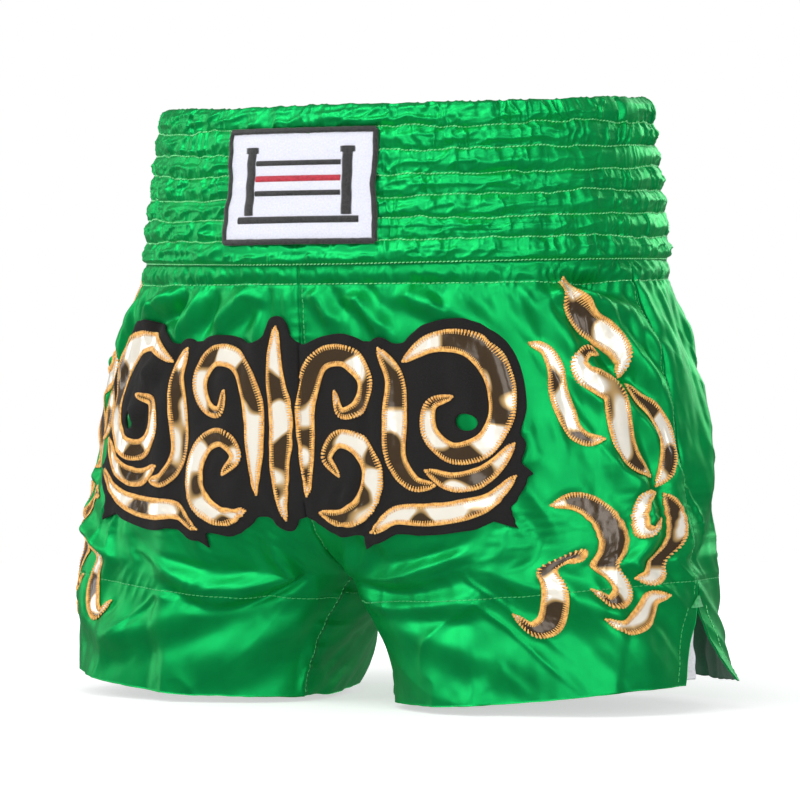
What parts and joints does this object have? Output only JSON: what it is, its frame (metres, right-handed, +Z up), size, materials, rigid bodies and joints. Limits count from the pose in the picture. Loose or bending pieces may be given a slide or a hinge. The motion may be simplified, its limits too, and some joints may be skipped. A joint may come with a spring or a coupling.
{
  "type": "boxing shorts",
  "caption": "Short satin boxing shorts with a wide ribbed elastic waistband, side splits, a front ornament on black felt and gold foil flames at the sides.",
  "frame": {"origin": "centre of the waist opening, level with the rim at the sides", "axes": "+Z up out of the waist opening, front faces -Y, +X towards the wearer's left"},
  "size_m": [0.4122, 0.249, 0.3436],
  "materials": {
    "satin_waistband": "glossy green polyester satin, gathered on elastic",
    "satin_body": "glossy green polyester satin",
    "elastic": "woven white elastic band",
    "white_tape": "white woven tape",
    "green_thread": "light green polyester thread",
    "gold_foil": "mirror gold foil cloth edged with orange gold satin stitch",
    "black_felt": "black felt",
    "woven_label": "off-white woven label cloth",
    "black_edging": "black merrowed thread edge"
  },
  "bodies": {
    "root": {"waistband_cover": "satin_waistband", "waist_elastic_1": "elastic", "waist_elastic_2": "elastic", "waist_elastic_3": "elastic", "waist_elastic_4": "elastic", "waist_elastic_5": "elastic", "waist_elastic_6": "elastic", "waist_elastic_7": "elastic", "front_panel_left": "satin_body", "back_panel_left": "satin_body", "split_tape_left": "white_tape", "split_bar_tack_left": "green_thread", "side_foil_left_1": "gold_foil", "side_foil_left_2": "gold_foil", "side_foil_left_3": "gold_foil", "side_foil_left_4": "gold_foil", "side_foil_left_5": "gold_foil", "side_foil_left_6": "gold_foil", "side_foil_left_7": "gold_foil", "side_foil_left_8": "gold_foil", "side_foil_left_9": "gold_foil", "front_foil_left_1": "gold_foil", "front_foil_left_2": "gold_foil", "front_foil_left_3": "gold_foil", "front_foil_left_4": "gold_foil", "front_foil_left_5": "gold_foil", "front_foil_left_6": "gold_foil", "front_panel_right": "satin_body", "back_panel_right": "satin_body", "split_tape_right": "white_tape", "split_bar_tack_right": "green_thread", "side_foil_right_1": "gold_foil", "side_foil_right_2": "gold_foil", "side_foil_right_3": "gold_foil", "side_foil_right_4": "gold_foil", "side_foil_right_5": "gold_foil", "side_foil_right_6": "gold_foil", "side_foil_right_7": "gold_foil", "side_foil_right_8": "gold_foil", "side_foil_right_9": "gold_foil", "front_foil_right_1": "gold_foil", "front_foil_right_2": "gold_foil", "front_foil_right_3": "gold_foil", "front_foil_right_4": "gold_foil", "front_foil_right_5": "gold_foil", "front_foil_right_6": "gold_foil", "front_foil_centre": "gold_foil", "front_felt_backing": "black_felt", "label_ground": "woven_label", "label_edge": "black_edging"}
  },
  "joints": []
}
